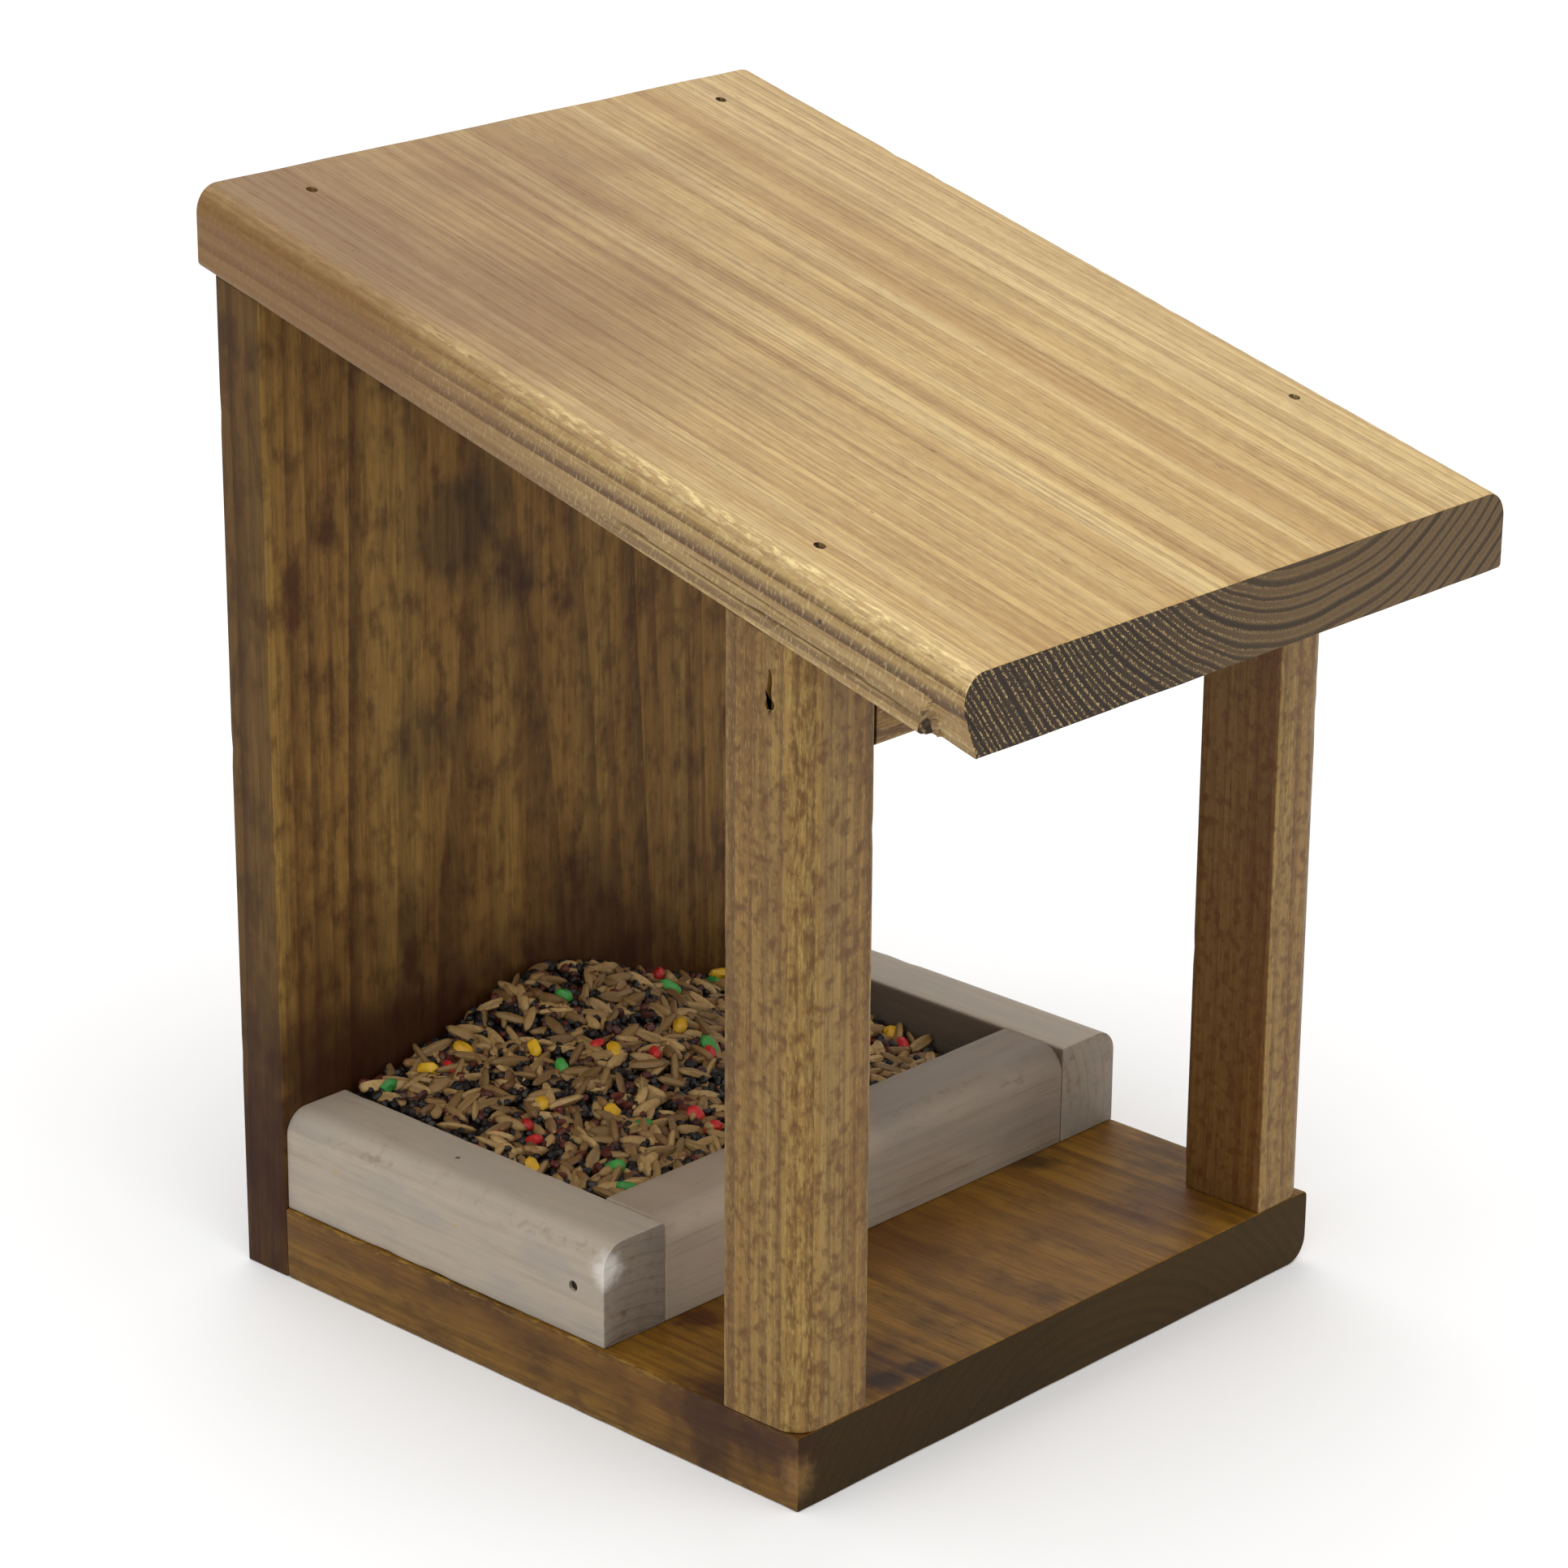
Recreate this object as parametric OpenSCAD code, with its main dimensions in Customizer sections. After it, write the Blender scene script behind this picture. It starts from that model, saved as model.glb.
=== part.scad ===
// Lean-to wooden bird feeder: a sloping roof board on a back board and two front posts,
// over a floor board with a three-sided seed tray against the back.
// +X runs to the right, +Y towards the back board, +Z up.
// The origin is the centre of the floor board's underside.

/* [Boards] */
// Width of the floor board and the back board
floor_w = 200; // [160:1:250]
// Depth of the floor board, front to back
floor_d = 188; // [155:1:235]
// Thickness of the floor board and the roof board
board_t = 20; // [16:1:25]
// Thickness of the back board
back_t = 16; // [12:1:22]
// Radius of the rounded long edges that the boards come with
round_r = 7; // [3:0.5:8]
// Radius of the eased long edges
eased_r = 1.5; // [0.5:0.25:2]

/* [Roof] */
// Pitch of the roof, rising to the back, in degrees
pitch = 14.6; // [8:0.2:20]
// How far the roof passes the floor board on each side
roof_side = 1.5; // [0:0.5:20]
// How far the roof passes the front of the floor board
roof_front = 50; // [20:1:80]
// How far the roof passes the back board
roof_back = 5; // [2:1:30]
// Length of the split on the roof's front left lower edge
split_l = 12; // [6:1:20]
// Height of that split
split_h = 12; // [5:1:13]
// Width of that split
split_w = 5; // [2:0.5:7]

/* [Posts] */
// Height of the posts at their front faces, above the floor board
post_h = 200; // [160:1:250]
// Depth of both posts, front to back
post_d = 26; // [22:1:32]
// Width of the left post
left_post_w = 25; // [20:1:32]
// Width of the right post
right_post_w = 20; // [16:1:26]
// How far the right post stands in from the floor board's side
right_post_inset = 1.5; // [0:0.5:4]

/* [Rails] */
// Thickness of the tray rails and of the front rail under the roof
rail_w = 22; // [18:1:27]
// Height of the same rails
rail_h = 28; // [23:1:34]
// Length of the tray, from its front face to the back board
tray_d = 120; // [95:1:145]
// How far the tray stands in from the floor board's sides
tray_inset = 1; // [0:0.5:4]

/* [Seed] */
// How far below the rails' tops the seed lies in the middle of the tray, away from the heap
seed_below = 5; // [3:1:16]
// Height of the heap above that level, at the back board
heap_rise = 20; // [5:1:35]
// Radius of the heap, where it has sunk to about a third
heap_r = 42; // [25:1:60]
// How far the heap's peak lies left of the middle
heap_left = 5; // [0:1:20]

/* [Fixings] */
// Shank diameter of the brads
brad_d = 1.8; // [1.4:0.1:2.4]
// Length of the brads
brad_l = 40; // [34:1:45]
// Shank diameter of the wood screws
screw_d = 3.5; // [2.8:0.1:4.2]
// Length of the wood screws
screw_l = 35; // [31:1:38]

/* [Hidden] */
$fn = 64;

past = 1;                 // how far a cutting shape passes the face it cuts
fix_gap = 0.1;            // play between a fixing and the hole it sits in
seed_gap = 0.3;           // play between the seed's solid and the wood around it

left_x = -floor_w / 2;
right_x = floor_w / 2;
front_y = -floor_d / 2;
back_y = floor_d / 2;
eaves_z = board_t + post_h;                    // roof underside above the floor's front edge
roof_w = floor_w + 2 * roof_side;
roof_l = floor_d + roof_front + roof_back + back_t;

left_post_x = left_x + left_post_w;            // inner face of the left post
right_post_x = right_x - right_post_inset;     // outer face of the right post
tray_x = floor_w / 2 - tray_inset;             // outer faces of the tray's side rails
tray_in_x = tray_x - rail_w;                   // their inner faces
tray_y = back_y - tray_d;                      // front face of the tray
tray_in_y = tray_y + rail_w;                   // inner face of its front rail

brad_head_d = 1.5 * brad_d;
brad_head_h = 1.2;
brad_sink = 1;                                 // brads are punched below the surface
screw_head_d = 2 * screw_d;
screw_head_h = (screw_head_d - screw_d) / 2;
screw_sink = 0.5;
recess_l = 0.6 * screw_head_d;                 // cross recess in a screw's head
recess_w = 0.9;
recess_h = 1.3;

brad_clear = 2;                                // clear wood between two brads that pass each other
roof_brad_margin = 26;                         // from the back board's ends to its roof brads
back_screw_margin = 28;                        // from the back board's ends to its outer screws
tray_screw_margin = 18;                        // from the inside of the tray to its screws
post_mid_y = front_y + post_d / 2;
left_post_mid_x = left_x + left_post_w / 2;
right_post_mid_x = right_post_x - right_post_w / 2;
roof_brad_back_x = floor_w / 2 - roof_brad_margin;
rail_brad_y = front_y + rail_w / 2;
rail_brad_z = eaves_z - rail_h / 2;
roof_brad_y = rail_brad_y - brad_d - brad_clear;
tray_brad_y = tray_y + rail_w / 2;
tray_brad_z = board_t + rail_h / 2;
roof_brad_at = [
    [left_post_mid_x, roof_brad_y],
    [right_post_mid_x, roof_brad_y],
    [-roof_brad_back_x, back_y + back_t / 2],
    [roof_brad_back_x, back_y + back_t / 2]
];
post_screw_at = [[left_post_mid_x, post_mid_y], [right_post_mid_x, post_mid_y]];
back_screw_x = [left_x + back_screw_margin, 0, right_x - back_screw_margin];
tray_screw_x = tray_x - rail_w / 2;
tray_screw_y = [tray_in_y + tray_screw_margin, back_y - tray_screw_margin];

// Height of the roof's underside and of its top at a depth y
function under_z(y) = eaves_z + (y - front_y) * tan(pitch);
function top_z(y) = under_z(y) + board_t / cos(pitch);

// ---- shared shapes ----

// A rectangle from the origin whose corners are rounded by the four radii:
// low left, low right, high right, high left
module rounded_rect(w, h, r) {
    difference() {
        square([w, h]);
        corner_waste(r[0]);
        translate([w, 0]) rotate(90) corner_waste(r[1]);
        translate([w, h]) rotate(180) corner_waste(r[2]);
        translate([0, h]) rotate(270) corner_waste(r[3]);
    }
}

// What is cut from a corner at the origin to leave it round
module corner_waste(r) {
    difference() {
        translate([-past, -past]) square(r + past);
        translate([r, r]) circle(r);
    }
}

// Everything above the roof's underside, to cut the posts and the back board to its slope
module above_roof() {
    translate([0, front_y, eaves_z]) rotate([pitch, 0, 0])
        translate([-floor_w, -floor_d, 0]) cube([2 * floor_w, 3 * floor_d, floor_d]);
}

// A brad that points down, with the top of its head at the origin
module brad() {
    translate([0, 0, -brad_head_h]) cylinder(d = brad_head_d, h = brad_head_h);
    translate([0, 0, -brad_l + brad_d]) cylinder(d = brad_d, h = brad_l - brad_d - brad_head_h);
    translate([0, 0, -brad_l]) cylinder(d1 = 0.3, d2 = brad_d, h = brad_d);
}

module brad_hole() {
    bore_d = brad_d + 2 * fix_gap;
    translate([0, 0, -brad_l - fix_gap]) cylinder(d = bore_d, h = brad_l);
    translate([0, 0, -brad_head_h - fix_gap])
        cylinder(d = brad_head_d + 2 * fix_gap, h = brad_head_h + 2 * brad_sink + past);
}

// A countersunk wood screw that points down, with the top of its head at the origin
module wood_screw() {
    tip_h = 1.6 * screw_d;
    difference() {
        translate([0, 0, -screw_head_h]) cylinder(d1 = screw_d, d2 = screw_head_d, h = screw_head_h);
        for (turn = [0, 90]) rotate(turn)
            translate([-recess_l / 2, -recess_w / 2, -recess_h]) cube([recess_l, recess_w, recess_h + past]);
    }
    translate([0, 0, -screw_l + tip_h]) cylinder(d = screw_d, h = screw_l - tip_h - screw_head_h);
    translate([0, 0, -screw_l]) cylinder(d1 = 0.4, d2 = screw_d, h = tip_h);
}

module screw_hole() {
    bore_d = screw_d + 2 * fix_gap;
    mouth_d = screw_head_d + 2 * fix_gap;
    translate([0, 0, -screw_l - fix_gap]) cylinder(d = bore_d, h = screw_l);
    translate([0, 0, -screw_head_h]) cylinder(d1 = bore_d, d2 = mouth_d, h = screw_head_h);
    cylinder(d = mouth_d, h = screw_sink + past);
}

// ---- where the fixings go, for the fixings and for their holes ----

module at_roof_brads() {
    for (at = roof_brad_at) translate([at[0], at[1], top_z(at[1]) - brad_sink]) children();
}

// Through the posts' sides into the ends of the front rail
module at_rail_brads() {
    translate([left_x + brad_sink, rail_brad_y, rail_brad_z]) rotate([0, -90, 0]) children();
    translate([right_post_x - brad_sink, rail_brad_y, rail_brad_z]) rotate([0, 90, 0]) children();
}

// Through the tray's side rails into the ends of its front rail
module at_tray_brads() {
    for (side = [-1, 1])
        translate([side * (tray_x - brad_sink), tray_brad_y, tray_brad_z]) rotate([0, side * 90, 0]) children();
}

// Through the back board into the floor board's back edge
module at_back_screws() {
    for (x = back_screw_x)
        translate([x, back_y + back_t - screw_sink, board_t / 2]) rotate([-90, 0, 0]) children();
}

// Up through the floor board into the posts' feet
module at_post_screws() {
    for (at = post_screw_at) translate([at[0], at[1], screw_sink]) rotate([180, 0, 0]) children();
}

// Up through the floor board into the tray's side rails
module at_tray_screws() {
    for (side = [-1, 1], y = tray_screw_y)
        translate([side * tray_screw_x, y, screw_sink]) rotate([180, 0, 0]) children();
}

// ---- boards ----

// The roof's ends are cut plumb. Its top long edges are round and its lower ones eased.
module roof_board() {
    color("#b18c55") difference() {
        intersection() {
            translate([-roof_w / 2, front_y, eaves_z]) rotate([pitch + 90, 0, 0])
                translate([0, 0, -2 * roof_l]) linear_extrude(height = 4 * roof_l)
                    rounded_rect(roof_w, board_t, [eased_r, eased_r, round_r, round_r]);
            translate([-roof_w, front_y - roof_front, 0]) cube([2 * roof_w, roof_l, 3 * eaves_z]);
        }
        roof_split();
        at_roof_brads() brad_hole();
    }
}

// The lower left edge is split off at the front, back to a small deeper notch
module roof_split() {
    notch_l = 2.5;
    notch_w = split_w + 1.5;
    notch_h = 6;
    translate([-roof_w / 2, front_y - roof_front, under_z(front_y - roof_front)]) rotate([pitch + 90, 0, 0]) {
        translate([0, 0, -split_l]) linear_extrude(height = 2 * split_l)
            edge_waste(split_w, split_h);
        translate([0, 0, -split_l - notch_l / 2]) linear_extrude(height = notch_l)
            edge_waste(notch_w, notch_h);
    }
}

// A triangle over a low left corner at the origin, w wide along the base and h high
module edge_waste(w, h) {
    polygon([[-past, -past], [w + past * w / h, -past], [-past, h + past * h / w]]);
}

// The back board stands behind the floor board, flush with its underside
module back_board() {
    color("#6e4d2b") difference() {
        translate([left_x, back_y, 0]) cube([floor_w, back_t, eaves_z + floor_d]);
        above_roof();
        at_roof_brads() brad_hole();
        at_back_screws() screw_hole();
    }
}

// The floor board lies with its round long edge down, on the right
module floor_board() {
    color("#7a5730") difference() {
        translate([left_x, back_y, 0]) rotate([90, 0, 0]) linear_extrude(height = floor_d)
            rounded_rect(floor_w, board_t, [eased_r / 3, round_r, eased_r, eased_r / 3]);
        at_back_screws() screw_hole();
        at_post_screws() screw_hole();
        at_tray_screws() screw_hole();
    }
}

// ---- posts and the rail between them ----

// A post stands from the floor to the roof. The round edge is its outer front one.
module post(x, w, r) {
    difference() {
        translate([x, front_y, board_t]) linear_extrude(height = post_h + floor_d)
            rounded_rect(w, post_d, r);
        above_roof();
        at_roof_brads() brad_hole();
        at_rail_brads() brad_hole();
        at_post_screws() screw_hole();
    }
}

module left_post() {
    color("#9b7443") post(left_x, left_post_w, [round_r, eased_r, eased_r, eased_r]);
}

module right_post() {
    color("#8a6238") post(right_post_x - right_post_w, right_post_w, [eased_r / 3, round_r, eased_r, eased_r]);
}

// The front rail is square cut: its top front edge meets the roof's underside
module front_rail() {
    rail_l = right_post_x - right_post_w - left_post_x;
    color("#8f6a3c") difference() {
        translate([left_post_x, front_y, eaves_z - rail_h]) cube([rail_l, rail_w, rail_h]);
        at_rail_brads() brad_hole();
    }
}

// ---- tray ----

// A side rail, drawn on the left, runs the tray's whole length and shows its end grain in front
module side_rail() {
    difference() {
        translate([-tray_x, back_y, board_t]) rotate([90, 0, 0]) linear_extrude(height = tray_d)
            rounded_rect(rail_w, rail_h, [eased_r / 3, eased_r / 3, eased_r, round_r]);
        at_tray_brads() brad_hole();
        at_tray_screws() screw_hole();
    }
}

module tray_left_rail() {
    color("#b5aca0") side_rail();
}

module tray_right_rail() {
    color("#aca296") mirror([1, 0, 0]) side_rail();
}

// The front rail fits between the side rails, with its round edge in front
module tray_front_rail() {
    color("#b0a79b") difference() {
        translate([-tray_in_x, tray_y, board_t]) rotate([90, 0, 90]) linear_extrude(height = 2 * tray_in_x)
            rounded_rect(rail_w, rail_h, [eased_r / 3, eased_r / 3, eased_r, round_r]);
        at_tray_brads() brad_hole();
    }
}

// ---- seed ----

seed_level = rail_h - seed_below;
seed_x = tray_in_x - seed_gap;                 // half width of the seed's solid
seed_y0 = tray_in_y + seed_gap;
seed_y1 = back_y - seed_gap;
seed_cols = 28;
seed_rows = 16;
seed_tilt = 0.06;                              // the seed lies deeper on the left
front_share = 0.75;                            // how deep it lies at the front, of its depth at the back

// Depth of the seed over the floor board at a place in the tray
function seed_h(x, y) =
    let (
        along = (y - seed_y0) / (seed_y1 - seed_y0),
        flat_part = (seed_level - seed_tilt * x) * (front_share + (1 - front_share) * along),
        away = [(x + heap_left) / heap_r, (y - seed_y1) / (1.3 * heap_r)]
    )
    flat_part + heap_rise * exp(-away * away);

module seed_heap() {
    cols = seed_cols;
    rows = seed_rows;
    upper = [
        for (j = [0 : rows], i = [0 : cols])
            let (x = -seed_x + 2 * seed_x * i / cols, y = seed_y0 + (seed_y1 - seed_y0) * j / rows)
            [x, y, board_t + seed_h(x, y)]
    ];
    base = [for (at = [[-1, seed_y0], [1, seed_y0], [1, seed_y1], [-1, seed_y1]]) [at[0] * seed_x, at[1], board_t]];
    c = len(upper);                            // number of the base's first corner
    function id(i, j) = j * (cols + 1) + i;
    top_faces = [
        for (j = [0 : rows - 1], i = [0 : cols - 1], half = [0, 1])
            half == 0 ? [id(i, j), id(i + 1, j + 1), id(i + 1, j)] : [id(i, j), id(i, j + 1), id(i + 1, j + 1)]
    ];
    side_faces = [
        [c, for (i = [0 : cols]) id(i, 0), c + 1],
        [c + 1, for (j = [0 : rows]) id(cols, j), c + 2],
        [c + 2, for (i = [cols : -1 : 0]) id(i, rows), c + 3],
        [c + 3, for (j = [rows : -1 : 0]) id(0, j), c]
    ];
    base_face = [[c, c + 1, c + 2, c + 3]];
    color("#8d7146") polyhedron(concat(upper, base), concat(top_faces, side_faces, base_face), convexity = 4);
}

// ---- fixings ----

module roof_brads() {
    color("#4d4a46") at_roof_brads() brad();
}

module rail_brads() {
    color("#4d4a46") at_rail_brads() brad();
}

module tray_brads() {
    color("#4d4a46") at_tray_brads() brad();
}

module back_screws() {
    color("#a8a396") at_back_screws() wood_screw();
}

module post_screws() {
    color("#a8a396") at_post_screws() wood_screw();
}

module tray_screws() {
    color("#a8a396") at_tray_screws() wood_screw();
}

roof_board();
back_board();
floor_board();
left_post();
right_post();
front_rail();
tray_left_rail();
tray_right_rail();
tray_front_rail();
seed_heap();
roof_brads();
rail_brads();
tray_brads();
back_screws();
post_screws();
tray_screws();
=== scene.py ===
from math import atan, cos, pi, radians, sin, sqrt

import bmesh
import bpy
import numpy as np
from mathutils import Matrix, Vector, noise
from mathutils.bvhtree import BVHTree


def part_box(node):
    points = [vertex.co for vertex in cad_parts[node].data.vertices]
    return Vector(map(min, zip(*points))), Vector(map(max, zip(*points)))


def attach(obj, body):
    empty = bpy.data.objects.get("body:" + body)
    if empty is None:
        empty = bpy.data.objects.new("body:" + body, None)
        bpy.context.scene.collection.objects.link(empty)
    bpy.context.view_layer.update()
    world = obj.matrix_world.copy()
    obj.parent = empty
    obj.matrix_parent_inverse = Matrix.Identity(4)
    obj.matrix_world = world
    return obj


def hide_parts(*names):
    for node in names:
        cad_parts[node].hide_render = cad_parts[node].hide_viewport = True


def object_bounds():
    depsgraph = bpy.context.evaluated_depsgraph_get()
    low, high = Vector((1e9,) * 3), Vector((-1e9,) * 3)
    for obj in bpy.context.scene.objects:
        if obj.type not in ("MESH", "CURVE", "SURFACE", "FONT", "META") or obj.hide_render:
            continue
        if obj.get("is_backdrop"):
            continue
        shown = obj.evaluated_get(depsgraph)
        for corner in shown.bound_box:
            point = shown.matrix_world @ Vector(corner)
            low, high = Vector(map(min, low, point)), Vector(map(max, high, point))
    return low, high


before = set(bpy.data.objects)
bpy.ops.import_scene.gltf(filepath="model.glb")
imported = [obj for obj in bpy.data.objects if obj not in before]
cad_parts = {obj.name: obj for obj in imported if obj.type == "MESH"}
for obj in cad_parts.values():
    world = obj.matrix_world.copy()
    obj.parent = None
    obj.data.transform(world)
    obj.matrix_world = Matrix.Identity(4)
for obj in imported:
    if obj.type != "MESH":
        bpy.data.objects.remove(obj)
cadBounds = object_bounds()
mm = 0.001


def plain(value):
    # a box or a vector as plain lists of numbers
    return [plain(v) for v in value] if hasattr(value, "__len__") else float(value)


class Wire:
    # a node's output; the operators used on it add Math nodes
    def __init__(self, bench, socket):
        self.bench, self.socket = bench, socket

    def of(self, name):
        return Wire(self.bench, self.socket.node.outputs[name])

    def maths(self, operation, *values):
        return self.bench.add("ShaderNodeMath", {"operation": operation}, dict(enumerate(values)))

    def __add__(self, other):
        return self.maths("ADD", self, other)

    def __radd__(self, other):
        return self.maths("ADD", other, self)

    def __sub__(self, other):
        return self.maths("SUBTRACT", self, other)

    def __rsub__(self, other):
        return self.maths("SUBTRACT", other, self)

    def __mul__(self, other):
        return self.maths("MULTIPLY", self, other)

    def __rmul__(self, other):
        return self.maths("MULTIPLY", other, self)

    def __truediv__(self, other):
        return self.maths("DIVIDE", self, other)

    def __pow__(self, other):
        return self.maths("POWER", self, other)

    def __abs__(self):
        return self.maths("ABSOLUTE", self)

    def fraction(self):
        return self.maths("FRACT", self)

    def whole(self):
        return self.maths("FLOOR", self)

    def step(self, low, high):
        # a soft step from 0 at low to 1 at high, which may be the smaller of the two
        if low > high:
            return 1 - self.step(high, low)
        return self.bench.add("ShaderNodeMapRange", {"interpolation_type": "SMOOTHSTEP"},
                              {"Value": self, "From Min": low, "From Max": high})


class Bench:
    # a node tree under construction
    def __init__(self, tree):
        self.tree = tree

    def add(self, kind, settings=None, sockets=None):
        node = self.tree.nodes.new(kind)
        for name, value in (settings or {}).items():
            setattr(node, name, value)
        for key, value in (sockets or {}).items():
            if isinstance(value, Wire):
                self.tree.links.new(value.socket, node.inputs[key])
            else:
                node.inputs[key].default_value = value
        outputs = [s for s in node.outputs if s.enabled]
        return Wire(self, outputs[0]) if outputs else node

    def vector(self, operation, *values):
        return self.add("ShaderNodeVectorMath", {"operation": operation}, dict(enumerate(values)))

    def dot(self, wire, axis):
        return self.vector("DOT_PRODUCT", wire, axis).of("Value")

    def join(self, x, y, z):
        return self.add("ShaderNodeCombineXYZ", None, {"X": x, "Y": y, "Z": z})

    def mix(self, factor, a, b):
        made = self.add("ShaderNodeMix", {"data_type": "RGBA"}, {0: factor, 6: a, 7: b})
        return Wire(self, made.socket.node.outputs[2])

    def cloud(self, where, scale, detail, rough):
        return self.add("ShaderNodeTexNoise", None,
                        {"Vector": where, "Scale": scale, "Detail": detail, "Roughness": rough})


def tint(red, green, blue):
    # a colour as seen on a screen, 0 to 255, as Blender's linear values
    linear = [c / 255 / 12.92 if c <= 10 else ((c / 255 + 0.055) / 1.055) ** 2.4 for c in (red, green, blue)]
    return (*linear, 1.0)


def shaded(tones, shade):
    # the colours of a wood, darkened by its stain
    return {name: (*(c * k for c, k in zip(tint(*colour), shade)), 1.0) for name, colour in tones.items()}


def newFinish(name):
    material = bpy.data.materials.new(name)
    material.use_nodes = True
    material.node_tree.nodes.clear()
    return material, Bench(material.node_tree)


def closeFinish(bench, sockets, height=None, relief=0.2 * mm):
    if height is not None:
        sockets["Normal"] = bench.add("ShaderNodeBump", None, {"Height": height, "Distance": relief})
    surface = bench.add("ShaderNodeBsdfPrincipled", None, sockets)
    bench.add("ShaderNodeOutputMaterial", None, {"Surface": surface})


usualWood = {
    "shade": (1.0, 1.0, 1.0), "lean": (0.004, 0.006), "drift": 9 * mm, "uneven": 1.0, "draw": 1.0,
    "ringShow": 0.8, "bandShow": 0.6, "zoneShow": 0.3, "fibreShow": 0.55, "hairShow": 0.4, "tickShow": 0.4,
    "curlShow": 0.15, "curlDraw": 0.5, "curlScale": 420,
    "blotchShow": 0.5, "blotchDraw": 0.4, "blotchScale": 26,
    "endSplit": (-30 * mm, 10 * mm), "endShow": 0.85, "dashRate": 2.0, "dashShow": 0.6,
    "wearAndSheenShow": 0.35, "rough": 0.5, "gloss": 0.4, "relief": 0.16, "flanks": [], "stainsAndPaintedLight": [],
}
toLeft, toRight = (-1.0, 0.0, 0.0), (1.0, 0.0, 0.0)
toFront, toTop = (0.0, -1.0, 0.0), (0.0, 0.0, 1.0)


def spot(at, size, show, colour, core=0.35, rag=90):
    # a round patch of colour, mostly a stain, and on the tray's front and left rails painted light and shade:
    # its middle and reach, how strong it is, how much of it is solid, and how fine its broken rim is
    return {"at": at, "size": size, "show": show, "tint": tint(*colour), "core": core, "rag": rag}


def flank(facing, show, colour, lines=0.0, lineColour=None, saw=0.0):
    # a side of a board, picked by the way it faces, with a tint, ring lines and pale saw marks; on the tray
    # and the right post these tints also paint shade and light onto whole sides
    return {"facing": facing, "show": show, "tint": tint(*colour), "lines": lines,
            "lineTint": tint(*(lineColour or colour)), "saw": saw}


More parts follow.
